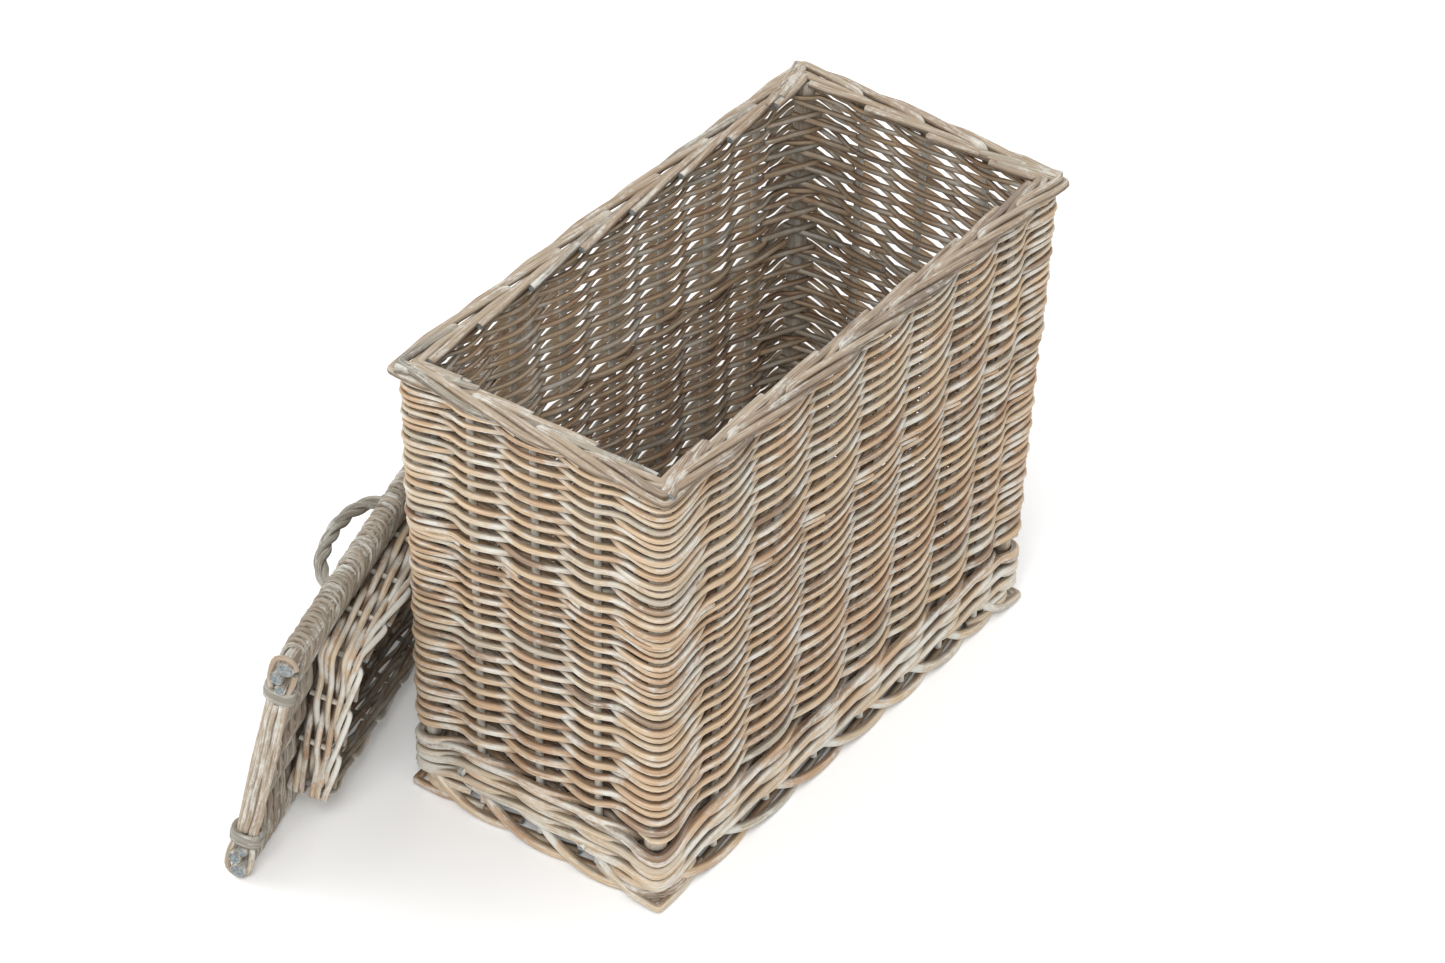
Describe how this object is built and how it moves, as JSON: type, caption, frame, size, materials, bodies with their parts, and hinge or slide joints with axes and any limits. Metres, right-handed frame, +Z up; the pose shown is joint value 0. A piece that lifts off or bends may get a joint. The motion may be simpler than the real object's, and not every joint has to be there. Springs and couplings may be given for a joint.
{
  "type": "wicker log basket",
  "caption": "Tall rectangular willow basket for firewood, with a loose woven lid that has a rope-twist loop handle and a raised frame underneath.",
  "frame": {"origin": "centre of the basket's foot, on the floor", "axes": "+Z up, Y along the basket's length, X across it, +X away from the side the lid leans on"},
  "size_m": [0.4712, 0.7001, 0.4375],
  "materials": {
    "willow_rods": "weathered willow rods with a pale wash",
    "willow_sticks": "round willow sticks, ends cut blue-grey",
    "willow_grey": "twisted grey willow",
    "willow_shaded": "darker grey-brown willow"
  },
  "bodies": {
    "basket": {"post_front_left": "willow_sticks", "post_front_right": "willow_sticks", "post_back_right": "willow_sticks", "post_back_left": "willow_sticks", "stakes_left": "willow_sticks", "stakes_right": "willow_sticks", "stakes_front": "willow_sticks", "stakes_back": "willow_sticks", "base_sticks": "willow_sticks", "base_weave": "willow_shaded", "foot_border": "willow_rods", "bottom_waling": "willow_rods", "lower_weave": "willow_rods", "upper_weave": "willow_rods", "top_border": "willow_rods"},
    "lid": {"lid_weave": "willow_rods", "lid_edge_sticks_lower": "willow_sticks", "lid_edge_sticks_upper": "willow_sticks", "lid_inner_sticks": "willow_sticks", "lid_end_near": "willow_rods", "lid_end_far": "willow_rods", "binding_near_lower": "willow_grey", "binding_near_upper": "willow_grey", "binding_far_lower": "willow_grey", "binding_far_upper": "willow_grey", "plug_stakes": "willow_sticks", "plug_weave": "willow_shaded", "plug_border": "willow_shaded", "handle": "willow_grey"}
  },
  "joints": [
    {"name": "lid_lift", "type": "slide", "parent": "basket", "child": "lid", "axis": [-0.1736, 0, 0.9848], "range_m": [0, 0.5]}
  ]
}
